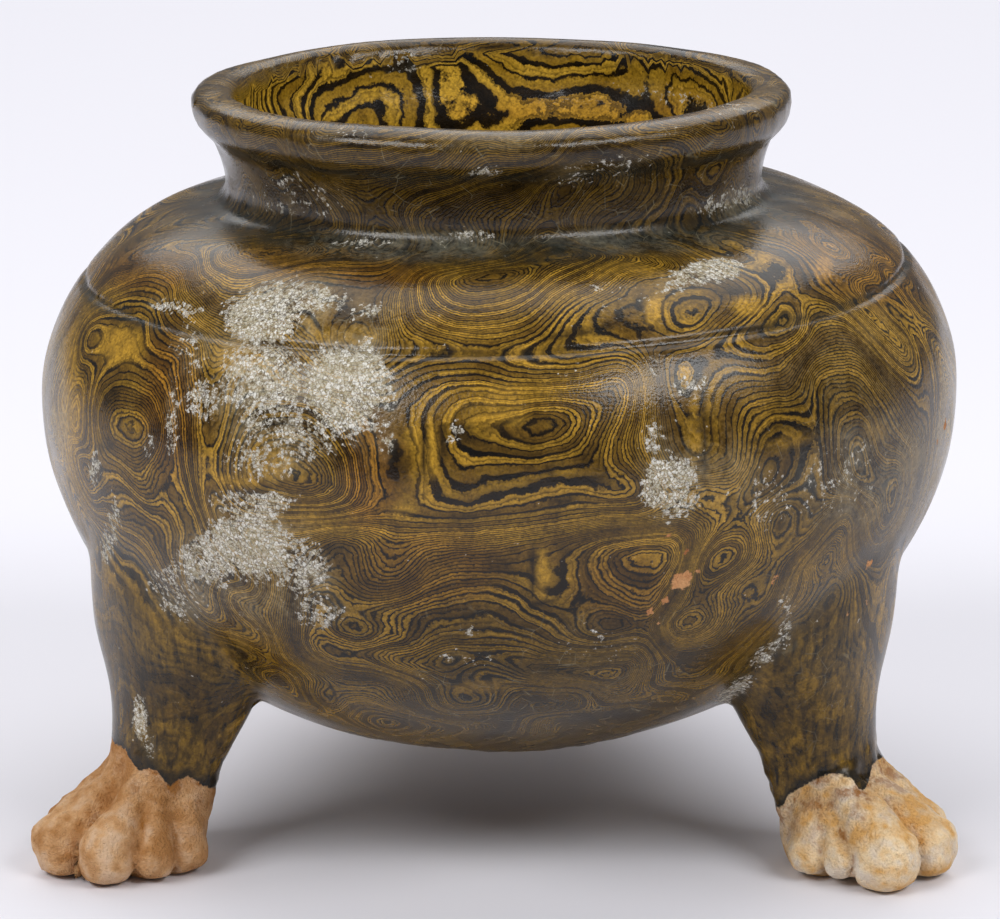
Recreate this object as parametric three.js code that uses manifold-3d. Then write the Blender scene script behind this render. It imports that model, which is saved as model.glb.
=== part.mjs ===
// Clay tripod censer: a round marbled pot on three moulded paw feet.
// The pot is thrown, the legs are luted to its belly, and the whole is fired
// as one piece of clay, so it is one closed solid with an open, hollow inside.
// Sizes are in millimetres. The floor is z = 0. The three legs stand evenly
// around one upright axis, the first towards +x and -y, the second towards +y.
// The finished piece is moved so that the middle of its outline is over z.

import * as THREE from "three";
import { mergeVertices } from "three/addons/utils/BufferGeometryUtils.js";
import Module from "manifold-3d";

const wasm = await Module();
wasm.setup();

// Belly
const bellyRadius = 115;
const bellyHeight = 111;
const bottomHeight = 20.5;
const upperReach = 65.8;
const upperFullness = 2.1;
const lowerFullness = 2.05;

// Incised ring on the shoulder
const ringHeight = 141.5;
const ringWidth = 2.4;
const ringDepth = 0.9;

// Neck
const neckFootRadius = 67;
const neckFootHeight = 158.6;
const neckFootFillet = 5;
const neckTopRadius = 70;
const neckFlareStart = 0.35;
const shoulderSlope = 9;
const shoulderLeave = 0.36;
const shoulderArrive = 0.4;

// Rolled lip, fullest a little below its crest
const rimHeight = 187.2;
const lipHeight = 10.4;
const lipRadius = 74.7;
const lipFullest = 3.8;
const lipCrestRadius = 67.7;
const lipCove = 2.2;
const lipUnderSetback = 1.7;
const lipUnderRound = 2;
const lipCrestRound = 3.4;
const lipInnerRound = 2.6;
const lipInnerDrop = 5.2;

// Walls of the hollow pot
const wall = 6.5;
const floorWall = 8.5;

// The pot leans a little on its legs, and its rim was trued almost level
const potLean = 1.5;
const rimTruing = 1.1;

// Legs, measured from the axis that they stand around
const firstLegAngle = -30;
const ankleHeight = 25;
const ankleReach = 93.6;
const ankleDepth = 14.2;
const ankleWidth = 13.6;
const calfHeight = 41;
const calfReach = 88.6;
const calfDepth = 17.2;
const calfWidth = 19;
const thighHeight = 61;
const thighReach = 89;
const thighDepth = 18.6;
const thighWidth = 29.5;
const rootHeight = 80;
const rootReach = 93.5;
const rootDepth = 15;
const rootWidth = 22;
const legTopHeight = 92;
const legTopReach = 96;
const legTopDepth = 7;
const legTopWidth = 9;
const legRoundness = 2.2;

// Paw: a heel block and four toes that run down from the instep
const heelReach = 100;
const heelDepth = 13.6;
const heelWidth = 17;
const heelHeight = 13;
const heelSetback = 1.5;
const heelUndercut = 2.4;
const heelEdge = 4;
const pawMiddle = 105;
const innerToe = { reach: 119.2, side: 6.6, height: 7.2, radius: 8.3 };
const innerToeRoot = { reach: 99.5, side: 4.8, height: 21, radius: 6.4 };
const outerToe = { reach: 107.6, side: 12.4, height: 7, radius: 8.4 };
const outerToeRoot = { reach: 95.5, side: 8, height: 20, radius: 6.4 };
const toeSoftness = 1.6;

// Each paw was set on its leg by eye, a few degrees round from straight out
const pawTurns = [-9, -3, -4];
const pawTurnAxis = 100;

// Facets, with the leg's levels closer together at the paw
const turnSteps = 56;
const outerSteps = 12;
const innerSteps = 7;
const filletSteps = 3;
const neckSteps = 3;
const innerNeckSteps = 2;
const lipSideSteps = 2;
const lipSteps = 3;
const legTurnSteps = 40;
const legLevels = 16;
const levelSpacing = 1.45;
const searchSteps = 24;
const searchHalvings = 24;

const upwards = new THREE.Vector3(0, 0, 1);
const radians = THREE.MathUtils.degToRad;
const lerp = THREE.MathUtils.lerp;
const smoothstep = THREE.MathUtils.smoothstep;

// A quarter of a superellipse from the belly's widest ring to its pole
function quarterPoint(angle, reach, fullness) {
  const power = 2 / fullness;
  const radius = bellyRadius * Math.cos(angle) ** power;
  return new THREE.Vector2(radius, reach * Math.sin(angle) ** power);
}

function lowerBelly(steps) {
  const points = [];
  const reach = bellyHeight - bottomHeight;
  for (let i = 0; i <= steps; i += 1) {
    const angle = (Math.PI / 2) * (1 - i / steps);
    const point = quarterPoint(angle, reach, lowerFullness);
    points.push(new THREE.Vector2(i === 0 ? 0 : point.x, bellyHeight - point.y));
  }
  return points;
}

// Radius and slope of the upper belly at a height above the floor
function upperRadius(height) {
  const share = (height - bellyHeight) / upperReach;
  return bellyRadius * (1 - share ** upperFullness) ** (1 / upperFullness);
}

function upperDirection(height) {
  const step = 0.01;
  const below = new THREE.Vector2(upperRadius(height - step), height - step);
  const above = new THREE.Vector2(upperRadius(height + step), height + step);
  return above.sub(below).normalize();
}

function upperBelly(steps) {
  const points = [];
  for (let i = 1; i <= steps; i += 1) {
    const height = lerp(bellyHeight, ringHeight, i / steps);
    points.push(new THREE.Vector2(upperRadius(height), height));
  }
  return points;
}

// The shoulder runs from the ring to the neck's foot and flattens on the way
function shoulder(steps) {
  const start = new THREE.Vector2(upperRadius(ringHeight), ringHeight);
  const slope = radians(shoulderSlope);
  const arcAngle = Math.PI / 2 - slope;
  const centre = new THREE.Vector2(neckFootRadius + neckFootFillet, neckFootHeight + neckFootFillet);
  const end = new THREE.Vector2(
    centre.x - neckFootFillet * Math.sin(slope),
    centre.y - neckFootFillet * Math.cos(slope),
  );
  const span = start.distanceTo(end);
  const leave = upperDirection(ringHeight).multiplyScalar(span * shoulderLeave);
  const arrive = new THREE.Vector2(Math.cos(slope), -Math.sin(slope)).multiplyScalar(span * shoulderArrive);
  const curve = new THREE.CubicBezierCurve(start, start.clone().add(leave), end.clone().add(arrive), end);
  const points = curve.getPoints(steps).slice(1);
  for (let i = 1; i <= filletSteps; i += 1) {
    const angle = slope + (arcAngle * i) / filletSteps;
    const x = centre.x - neckFootFillet * Math.sin(angle);
    points.push(new THREE.Vector2(x, centre.y - neckFootFillet * Math.cos(angle)));
  }
  return points;
}

// The neck rises nearly straight and flares under the lip
function neck(steps) {
  const points = [];
  const low = neckFootHeight + neckFootFillet;
  const high = rimHeight - lipHeight - lipCove;
  for (let i = 1; i <= steps; i += 1) {
    const share = i / steps;
    const flare = lerp(share, share * share, 1 - neckFlareStart);
    points.push(new THREE.Vector2(lerp(neckFootRadius, neckTopRadius, flare), lerp(low, high, share)));
  }
  return points;
}

// The rolled lip, from its underside over the crest to the inner wall
function lip() {
  const point = (x, y) => new THREE.Vector2(x, y);
  const under = rimHeight - lipHeight;
  const fullest = rimHeight - lipFullest;
  const innerTop = neckTopRadius - wall;
  const side = new THREE.CubicBezierCurve(
    point(lipRadius - lipUnderSetback, under + 0.4 * lipUnderRound),
    point(lipRadius - 0.3 * lipUnderSetback, under + lipUnderRound),
    point(lipRadius, fullest - lipUnderRound),
    point(lipRadius, fullest),
  );
  const crest = new THREE.CubicBezierCurve(
    point(lipRadius, fullest),
    point(lipRadius, rimHeight - 0.3 * lipFullest),
    point(lipCrestRadius + lipCrestRound, rimHeight),
    point(lipCrestRadius, rimHeight),
  );
  const inner = new THREE.CubicBezierCurve(
    point(lipCrestRadius, rimHeight),
    point(lipCrestRadius - lipInnerRound, rimHeight),
    point(innerTop, rimHeight - 0.3 * lipInnerDrop),
    point(innerTop, rimHeight - lipInnerDrop),
  );
  const curves = [side.getPoints(lipSideSteps), crest.getPoints(lipSteps), inner.getPoints(lipSteps)];
  return [...curves[0], ...curves[1].slice(1), ...curves[2].slice(1)];
}

// Cuts the incised ring into the outer profile as a shallow rounded notch
function inciseRing(points) {
  const before = points.filter((point) => point.y < ringHeight - ringWidth / 2);
  const after = points.filter((point) => point.y > ringHeight + ringWidth / 2);
  const direction = upperDirection(ringHeight);
  const outward = new THREE.Vector2(direction.y, -direction.x);
  const middle = new THREE.Vector2(upperRadius(ringHeight), ringHeight);
  const notch = [-0.5, -0.2, 0.2, 0.5].map((share) => {
    const depth = Math.abs(share) < 0.5 ? ringDepth : 0;
    const point = middle.clone().addScaledVector(direction, share * ringWidth);
    return point.addScaledVector(outward, -depth);
  });
  return [...before, ...notch, ...after];
}

function outerWall(steps) {
  return [...lowerBelly(steps), ...upperBelly(Math.ceil(steps / 4)), ...shoulder(Math.ceil(steps / 3))];
}

// Moves a profile inwards by a wall that thickens towards the pot's floor
function inset(points, share) {
  const lowest = points[0].y;
  return points.map((point, i) => {
    const previous = points[Math.max(i - 1, 0)];
    const next = points[Math.min(i + 1, points.length - 1)];
    const along = next.clone().sub(previous).normalize();
    const outward = new THREE.Vector2(along.y, -along.x);
    if (i === 0) outward.set(0, -1);
    const rise = smoothstep(point.y, lowest, bellyHeight);
    const thickness = lerp(floorWall, wall, rise) * share;
    const moved = point.clone().addScaledVector(outward, -thickness);
    return new THREE.Vector2(i === 0 ? 0 : moved.x, moved.y);
  });
}

function innerWall() {
  const walls = inset([...outerWall(innerSteps), ...neck(innerNeckSteps)], 1);
  const lipEnd = rimHeight - lipInnerDrop;
  return walls.filter((point) => point.y < lipEnd - lipInnerRound / 2).reverse();
}

function lathe(points) {
  const geometry = new THREE.LatheGeometry(points, turnSteps);
  geometry.rotateX(Math.PI / 2);
  return geometry;
}

// Tilts the pot on its legs and takes most of that tilt out of the rim
function settle(geometry) {
  const position = geometry.getAttribute("position");
  const truing = Math.tan(radians(rimTruing));
  for (let i = 0; i < position.count; i += 1) {
    const height = position.getZ(i);
    const share = smoothstep(height, ringHeight, neckFootHeight + neckFootFillet);
    position.setZ(i, height - position.getX(i) * truing * share);
  }
  geometry.translate(0, 0, -neckFootHeight);
  geometry.rotateY(-radians(potLean));
  geometry.translate(0, 0, neckFootHeight);
  return geometry;
}

// Leg sections from the sole to the hidden top inside the belly's wall
const legStations = [
  { height: 0, reach: heelReach, depth: heelDepth - heelUndercut, width: heelWidth - heelUndercut },
  { height: heelEdge, reach: heelReach, depth: heelDepth, width: heelWidth },
  { height: heelHeight, reach: heelReach - heelSetback, depth: heelDepth, width: heelWidth },
  { height: ankleHeight, reach: ankleReach, depth: ankleDepth, width: ankleWidth },
  { height: calfHeight, reach: calfReach, depth: calfDepth, width: calfWidth },
  { height: thighHeight, reach: thighReach, depth: thighDepth, width: thighWidth },
  { height: rootHeight, reach: rootReach, depth: rootDepth, width: rootWidth },
  { height: legTopHeight, reach: legTopReach, depth: legTopDepth, width: legTopWidth },
];

// Value of one leg size at a height, smooth through the stations
function legSize(name, height) {
  const last = legStations.length - 2;
  let k = 0;
  while (k < last && height > legStations[k + 1].height) k += 1;
  const at = (i) => legStations[THREE.MathUtils.clamp(i, 0, last + 1)];
  const slope = (i) => {
    const rise = at(i + 1).height - at(i - 1).height;
    return (at(i + 1)[name] - at(i - 1)[name]) / rise;
  };
  const span = at(k + 1).height - at(k).height;
  const t = (height - at(k).height) / span;
  const start = at(k)[name];
  const end = at(k + 1)[name];
  const rise = slope(k) * span;
  const fall = slope(k + 1) * span;
  const change = end - start;
  return start + t * (rise + t * (3 * change - 2 * rise - fall + t * (rise + fall - 2 * change)));
}

// Signed distances in the leg's own frame: x outwards, y sideways, z up
function legDistance(point) {
  const depth = legSize("depth", point.z);
  const width = legSize("width", point.z);
  const across = Math.abs((point.x - legSize("reach", point.z)) / depth);
  const along = Math.abs(point.y / width);
  const size = (across ** legRoundness + along ** legRoundness) ** (1 / legRoundness);
  return (size - 1) * Math.min(depth, width);
}

function toeDistance(point, toe, root, side) {
  const tip = new THREE.Vector3(toe.reach, toe.side * side, toe.height);
  const start = new THREE.Vector3(root.reach, root.side * side, root.height);
  const line = start.sub(tip);
  const offset = point.clone().sub(tip);
  const share = THREE.MathUtils.clamp(offset.dot(line) / line.lengthSq(), 0, 1);
  return offset.addScaledVector(line, -share).length() - lerp(toe.radius, root.radius, share);
}

function softUnion(a, b) {
  const blend = Math.max(toeSoftness - Math.abs(a - b), 0) / toeSoftness;
  return Math.min(a, b) - (blend * blend * toeSoftness) / 4;
}

function legSurface(point, pawTurn) {
  const paw = point.clone();
  const turn = -radians(pawTurn) * (1 - smoothstep(point.z, heelHeight, ankleHeight));
  paw.x -= pawTurnAxis;
  paw.applyAxisAngle(upwards, turn);
  paw.x += pawTurnAxis;
  let distance = legDistance(point);
  for (const side of [-1, 1]) {
    distance = softUnion(distance, toeDistance(paw, innerToe, innerToeRoot, side));
    distance = softUnion(distance, toeDistance(paw, outerToe, outerToeRoot, side));
  }
  return distance;
}

function legCentre(height) {
  const share = smoothstep(height, 0, ankleHeight);
  return lerp(pawMiddle, legSize("reach", Math.max(height, ankleHeight)), share);
}

// Outermost radius of the leg in one direction at one height
function legRadius(height, angle, pawTurn) {
  const centre = legCentre(height);
  const probe = new THREE.Vector3(0, 0, height);
  let outside = 2 * thighWidth;
  let inside = 0;
  const step = outside / searchSteps;
  for (let radius = outside; radius > 0; radius -= step) {
    probe.x = centre + radius * Math.cos(angle);
    probe.y = radius * Math.sin(angle);
    inside = radius;
    if (legSurface(probe, pawTurn) < 0) break;
    outside = radius;
  }
  for (let i = 0; i < searchHalvings; i += 1) {
    const middle = (inside + outside) / 2;
    probe.x = centre + middle * Math.cos(angle);
    probe.y = middle * Math.sin(angle);
    if (legSurface(probe, pawTurn) < 0) inside = middle;
    else outside = middle;
  }
  return inside;
}

// One closed loft from the flat sole to the top, levels closer at the paw
function legGeometry(pawTurn) {
  const vertices = [];
  const faces = [];
  for (let level = 0; level < legLevels; level += 1) {
    const height = legTopHeight * (level / (legLevels - 1)) ** levelSpacing;
    const centre = legCentre(height);
    for (let i = 0; i < legTurnSteps; i += 1) {
      const angle = (2 * Math.PI * i) / legTurnSteps;
      const radius = legRadius(height, angle, pawTurn);
      vertices.push(centre + radius * Math.cos(angle), radius * Math.sin(angle), height);
    }
  }
  for (let level = 0; level < legLevels - 1; level += 1) {
    for (let i = 0; i < legTurnSteps; i += 1) {
      const next = (i + 1) % legTurnSteps;
      const low = level * legTurnSteps;
      const high = low + legTurnSteps;
      faces.push(low + i, low + next, high + next, low + i, high + next, high + i);
    }
  }
  const top = (legLevels - 1) * legTurnSteps;
  const soleMiddle = vertices.length / 3;
  vertices.push(legCentre(0), 0, 0, legCentre(legTopHeight), 0, legTopHeight);
  for (let i = 0; i < legTurnSteps; i += 1) {
    const next = (i + 1) % legTurnSteps;
    faces.push(soleMiddle, next, i, soleMiddle + 1, top + i, top + next);
  }
  const geometry = new THREE.BufferGeometry();
  geometry.setAttribute("position", new THREE.Float32BufferAttribute(vertices, 3));
  geometry.setIndex(faces);
  return geometry;
}

// Turns a closed geometry into a solid, leaving out triangles without area
function toSolid(source) {
  const geometry = source.clone();
  geometry.deleteAttribute("normal");
  geometry.deleteAttribute("uv");
  const merged = mergeVertices(geometry, 1e-4);
  const index = merged.index.array;
  const triangles = [];
  for (let i = 0; i < index.length; i += 3) {
    const [a, b, c] = [index[i], index[i + 1], index[i + 2]];
    if (a !== b && b !== c && c !== a) triangles.push(a, b, c);
  }
  const vertProperties = new Float32Array(merged.getAttribute("position").array);
  const triVerts = new Uint32Array(triangles);
  return new wasm.Manifold(new wasm.Mesh({ numProp: 3, vertProperties, triVerts }));
}

function toGeometry(solid) {
  const mesh = solid.getMesh();
  const geometry = new THREE.BufferGeometry();
  const position = new Float32Array(mesh.numVert * 3);
  for (let i = 0; i < mesh.numVert; i += 1) {
    for (let k = 0; k < 3; k += 1) position[i * 3 + k] = mesh.vertProperties[i * mesh.numProp + k];
  }
  geometry.setAttribute("position", new THREE.BufferAttribute(position, 3));
  geometry.setIndex(new THREE.BufferAttribute(new Uint32Array(mesh.triVerts), 1));
  geometry.computeVertexNormals();
  return geometry;
}

// The hollow pot as one turned profile, from the underside to the inner floor
function potSolid() {
  const outer = inciseRing([...outerWall(outerSteps), ...neck(neckSteps)]);
  return toSolid(settle(lathe([...outer, ...lip(), ...innerWall()])));
}

// The space within the middle of the wall, which trims the legs' hidden tops
function rootCore() {
  const middle = inset(outerWall(innerSteps), 0.5);
  const top = middle[middle.length - 1];
  return toSolid(settle(lathe([...middle, new THREE.Vector2(0, top.y)])));
}

// Moves the piece level until the middle of its outline is over the origin
function overOrigin(geometry) {
  geometry.computeBoundingBox();
  const middle = geometry.boundingBox.getCenter(new THREE.Vector3());
  return geometry.translate(-middle.x, -middle.y, 0);
}

function censer() {
  let solid = potSolid();
  const core = rootCore();
  pawTurns.forEach((pawTurn, i) => {
    const leg = legGeometry(pawTurn);
    leg.rotateZ(radians(firstLegAngle + (360 * i) / pawTurns.length));
    solid = solid.add(toSolid(leg).subtract(core));
  });
  return overOrigin(toGeometry(solid));
}

const glazedClay = new THREE.MeshStandardMaterial({
  name: "glazed_marbled_clay",
  color: 0x6e5c22,
  roughness: 0.35,
  metalness: 0,
});

const group = new THREE.Group();
const body = new THREE.Mesh(censer(), glazedClay);
body.name = "censer";
group.add(body);

export default group;
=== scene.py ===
"""Looks of the clay tripod censer: fine clay surface, marbling, glaze and wear, with painted shade and sheen
in places.

The censer is one piece of fired clay, so one mesh stands for it. Lengths in the
shape functions are millimetres around the axis that the three legs stand about.
"""

import math
from functools import partial

import bmesh
import bpy
import numpy as np
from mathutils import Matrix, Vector
from mathutils.bvhtree import BVHTree


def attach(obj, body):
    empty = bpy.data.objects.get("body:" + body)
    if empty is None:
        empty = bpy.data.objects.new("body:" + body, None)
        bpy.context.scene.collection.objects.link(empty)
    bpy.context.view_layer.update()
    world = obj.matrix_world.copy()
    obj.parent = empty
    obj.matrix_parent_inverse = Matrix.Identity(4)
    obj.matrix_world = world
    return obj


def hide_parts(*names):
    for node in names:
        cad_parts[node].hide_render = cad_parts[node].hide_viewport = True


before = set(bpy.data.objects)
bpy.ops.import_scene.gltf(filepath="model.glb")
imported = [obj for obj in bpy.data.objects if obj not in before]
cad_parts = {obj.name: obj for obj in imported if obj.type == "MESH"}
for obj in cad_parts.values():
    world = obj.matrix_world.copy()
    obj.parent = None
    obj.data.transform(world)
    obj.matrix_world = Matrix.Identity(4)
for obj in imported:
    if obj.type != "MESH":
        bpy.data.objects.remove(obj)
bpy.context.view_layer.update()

MM = 0.001
# The legs' axis stands a little aside from the middle of the censer's outline
LEGS_AXIS = np.array([-0.754, -6.22, 0.0])

# Pot, as in the part
BELLY_RADIUS, BELLY_HEIGHT, BOTTOM_HEIGHT = 115.0, 111.0, 20.5
UPPER_REACH, UPPER_FULLNESS, LOWER_FULLNESS = 65.8, 2.1, 2.05
RING_HEIGHT, RING_WIDTH, RING_DEPTH = 141.5, 2.4, 0.9
NECK_FOOT_RADIUS, NECK_FOOT_HEIGHT, NECK_FOOT_FILLET = 67.0, 158.6, 5.0
NECK_TOP_RADIUS, NECK_FLARE_START = 70.0, 0.35
SHOULDER_SLOPE, SHOULDER_LEAVE, SHOULDER_ARRIVE = math.radians(9), 0.36, 0.4
RIM_HEIGHT, LIP_HEIGHT, LIP_RADIUS, LIP_FULLEST = 187.2, 10.4, 74.7, 3.8
LIP_CREST_RADIUS, LIP_COVE, LIP_UNDER_SETBACK, LIP_UNDER_ROUND = 67.7, 2.2, 1.7, 2.0
LIP_CREST_ROUND, LIP_INNER_ROUND, LIP_INNER_DROP = 3.4, 2.6, 5.2
WALL, FLOOR_WALL = 6.5, 8.5
POT_LEAN, RIM_TRUING = math.radians(1.5), math.radians(1.1)

# Legs: height, reach, depth, width of each section, as in the part, but for a slimmer
# foot, because the toes that the photograph shows stand round it
HEEL_HEIGHT, ANKLE_HEIGHT, LEG_ROUNDNESS = 13.0, 25.0, 2.2
LEG_SECTIONS = np.array([
    (0, 100, 12, 13.8),
    (4, 100.5, 14.4, 16),
    (HEEL_HEIGHT, 98.5, 14.2, 16),
    (ANKLE_HEIGHT, 93.6, 14.2, 13.6),
    (41, 88.6, 17.2, 19),
    (61, 89, 18.6, 29.5),
    (80, 93.5, 15, 22),
    (92, 96, 7, 9),
])
# Toes of the right, back and left paw: reach, side, height and radius at the tip
TOES = [
    [(121.8, 1.8, 7.6, 7.2), (116.6, -12.0, 7.8, 8.2), (107, -15.0, 6.8, 5.2), (98.5, -14.6, 7, 5.6),
     (114.5, 12.4, 7.2, 7.2), (103.5, 14.6, 6.8, 5.8)],
    [(121.6, 0.4, 7.4, 7.2), (115.2, -11.0, 7.2, 7.0), (115.4, 11.2, 7.2, 7.0), (104.6, -14.2, 6.8, 5.8),
     (104.8, 14.0, 6.8, 5.8), (96.5, -13.2, 6.6, 5.2), (96, 13.4, 6.6, 5.2)],
    [(120.8, -2.2, 7.8, 7.6), (114.4, 9.4, 7.2, 7.0), (104.4, 12.8, 6.8, 5.8), (95.2, 12.8, 6.6, 5.2),
     (113.2, -12.4, 7, 6.8), (102.8, -14.2, 6.8, 5.8)],
]
TOE_SOFTNESS, TOE_SQUARENESS, PAW_AXIS = 2.2, 2.5, 100.0
TOE_GROOVE_DEPTH, TOE_GROOVE_WIDTH = 1.3, 1.6
# A toe runs back to a root beside the paw's axis, and a tendon from there to the ankle
TOE_ROOT_REACH, TOE_ROOT_SIDE, TOE_ROOT_HEIGHT, TOE_ROOT_THICKNESS = 0.12, 0.62, 20.5, 0.82
TENDON_REACH, TENDON_CURVE, TENDON_SIDE, TENDON_HEIGHT, TENDON_RADIUS = 103.6, 0.02, 0.6, 28.5, 3.3
LEG_ANGLES = [math.radians(a) for a in (-30, 90, 210)]

# What only the eye needs: clay and glaze that fill the corners
ROOT_FILLET, SOLE_ROUND = 3.2, 1.4
VOXEL = 4.15

# Camera of the photograph, and its picture size in pixels
CAMERA_PLACE = np.array([0.75, -1098.9, 372.9])
CAMERA_PITCH = math.radians(14.512)
PICTURE_WIDTH, PICTURE_HEIGHT, FOCAL_PIXELS, SENSOR = 1000, 919, 4443.0, 36.0


def smoothstep(x, low, high):
    t = np.clip((x - low) / (high - low), 0, 1)
    return t * t * (3 - 2 * t)


def lerp(a, b, t):
    return a + (b - a) * t


def bezier(a, b, c, d, steps):
    t = np.linspace(0, 1, steps + 1)[:, None]
    points = [np.array(p, float) for p in (a, b, c, d)]
    shares = (1 - t) ** 3, 3 * t * (1 - t) ** 2, 3 * t * t * (1 - t), t**3
    return sum(share * point for share, point in zip(shares, points))


def upper_radius(height):
    share = (height - BELLY_HEIGHT) / UPPER_REACH
    return BELLY_RADIUS * (1 - share**UPPER_FULLNESS) ** (1 / UPPER_FULLNESS)


def ring_direction():
    run = upper_radius(RING_HEIGHT + 0.01) - upper_radius(RING_HEIGHT - 0.01)
    return np.array([run, 0.02]) / math.hypot(run, 0.02)


def belly_profile():
    """Radius and height from the underside's middle to the foot of the neck."""
    angle = np.linspace(math.pi / 2, 0, 121)
    power = 2 / LOWER_FULLNESS
    drop = (BELLY_HEIGHT - BOTTOM_HEIGHT) * np.sin(angle) ** power
    lower = np.column_stack([BELLY_RADIUS * np.cos(angle) ** power, BELLY_HEIGHT - drop])
    lower[0, 0] = 0
    heights = np.linspace(BELLY_HEIGHT, RING_HEIGHT, 41)[1:]
    upper = np.column_stack([upper_radius(heights), heights])
    start = upper[-1]
    centre = np.array([NECK_FOOT_RADIUS + NECK_FOOT_FILLET, NECK_FOOT_HEIGHT + NECK_FOOT_FILLET])
    turn = np.linspace(SHOULDER_SLOPE, math.pi / 2, 13)[:, None]
    fillet = centre - NECK_FOOT_FILLET * np.hstack([np.sin(turn), np.cos(turn)])
    span = math.dist(start, fillet[0])
    leave = start + ring_direction() * span * SHOULDER_LEAVE
    slope = np.array([math.cos(SHOULDER_SLOPE), -math.sin(SHOULDER_SLOPE)])
    shoulder = bezier(start, leave, fillet[0] + slope * span * SHOULDER_ARRIVE, fillet[0], 40)
    return np.vstack([lower, upper, shoulder[1:], fillet[1:]])


def neck_profile():
    t = np.linspace(0, 1, 25)[1:]
    flare = lerp(t, t * t, 1 - NECK_FLARE_START)
    top = RIM_HEIGHT - LIP_HEIGHT - LIP_COVE
    heights = lerp(NECK_FOOT_HEIGHT + NECK_FOOT_FILLET, top, t)
    return np.column_stack([lerp(NECK_FOOT_RADIUS, NECK_TOP_RADIUS, flare), heights])


def lip_profile():
    under, fullest = RIM_HEIGHT - LIP_HEIGHT, RIM_HEIGHT - LIP_FULLEST
    inner = NECK_TOP_RADIUS - WALL
    side = bezier(
        (LIP_RADIUS - LIP_UNDER_SETBACK, under + 0.4 * LIP_UNDER_ROUND),
        (LIP_RADIUS - 0.3 * LIP_UNDER_SETBACK, under + LIP_UNDER_ROUND),
        (LIP_RADIUS, fullest - LIP_UNDER_ROUND),
        (LIP_RADIUS, fullest),
        8,
    )
    crest = bezier(
        (LIP_RADIUS, fullest),
        (LIP_RADIUS, RIM_HEIGHT - 0.3 * LIP_FULLEST),
        (LIP_CREST_RADIUS + LIP_CREST_ROUND, RIM_HEIGHT),
        (LIP_CREST_RADIUS, RIM_HEIGHT),
        12,
    )
    inside = bezier(
        (LIP_CREST_RADIUS, RIM_HEIGHT),
        (LIP_CREST_RADIUS - LIP_INNER_ROUND, RIM_HEIGHT),
        (inner, RIM_HEIGHT - 0.3 * LIP_INNER_DROP),
        (inner, RIM_HEIGHT - LIP_INNER_DROP),
        12,
    )
    return np.vstack([side, crest[1:], inside[1:]])


def inner_profile():
    outer = np.vstack([belly_profile(), neck_profile()])
    along = np.gradient(outer, axis=0)
    along /= np.linalg.norm(along, axis=1)[:, None]
    outward = np.column_stack([along[:, 1], -along[:, 0]])
    outward[0] = (0, -1)
    thickness = lerp(FLOOR_WALL, WALL, smoothstep(outer[:, 1], outer[0, 1], BELLY_HEIGHT))
    moved = outer - outward * thickness[:, None]
    moved[0, 0] = 0
    return moved[moved[:, 1] < RIM_HEIGHT - LIP_INNER_DROP - LIP_INNER_ROUND / 2][::-1]


GRID_STEP, GRID_REACH, GRID_LOW, GRID_HIGH = 0.5, 132, -6.0, 202


def distance_grid(profile):
    """Signed distance to a turned profile, on a grid of radius and height."""
    start, end = profile[:-1], profile[1:]
    line = end - start
    length = np.maximum((line**2).sum(1), 1e-9)
    across = np.arange(0, GRID_REACH, GRID_STEP)
    up = np.arange(GRID_LOW, GRID_HIGH, GRID_STEP)
    rows = []
    for height in up:
        spot = np.column_stack([across, np.full_like(across, height)])
        offset = spot[:, None] - start[None]
        share = np.clip((offset * line).sum(2) / length, 0, 1)
        gap = offset - share[:, :, None] * line
        squared = (gap**2).sum(2)
        nearest = squared.argmin(1)
        pick = np.arange(len(spot))
        gap, side = gap[pick, nearest], line[nearest]
        outside = gap[:, 0] * side[:, 1] - gap[:, 1] * side[:, 0]
        rows.append(np.sqrt(squared[pick, nearest]) * np.where(outside < 0, -1, 1))
    return np.array(rows)


def read_grid(grid, radius, height):
    x = np.clip(radius / GRID_STEP, 0, grid.shape[1] - 1.001)
    y = np.clip((height - GRID_LOW) / GRID_STEP, 0, grid.shape[0] - 1.001)
    i, j = x.astype(int), y.astype(int)
    u, v = x - i, y - j
    low = lerp(grid[j, i], grid[j, i + 1], u)
    return lerp(low, lerp(grid[j + 1, i], grid[j + 1, i + 1], u), v)


outer_side = np.vstack([belly_profile(), neck_profile(), lip_profile()])
wall_grid = distance_grid(np.vstack([outer_side, inner_profile()]))
crest_row = int(np.argmax(outer_side[:, 1]))
outer_grid = distance_grid(np.vstack([outer_side[: crest_row + 1], (0, RIM_HEIGHT)]))


def turned(points):
    """Radius, height and angle on the wheel, before the pot leant on its legs."""
    x, y, z = points.T
    z = z - NECK_FOOT_HEIGHT
    x, z = x * math.cos(POT_LEAN) + z * math.sin(POT_LEAN), z * math.cos(POT_LEAN) - x * math.sin(POT_LEAN)
    settled = z + NECK_FOOT_HEIGHT
    height = settled
    for _ in range(3):
        share = smoothstep(height, RING_HEIGHT, NECK_FOOT_HEIGHT + NECK_FOOT_FILLET)
        height = settled + x * math.tan(RIM_TRUING) * share
    return np.hypot(x, y), height, np.arctan2(y, x)


def soft_join(a, b, softness):
    blend = np.maximum(softness - np.abs(a - b), 0) / softness
    return np.minimum(a, b) - blend**2 * softness / 4


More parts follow.
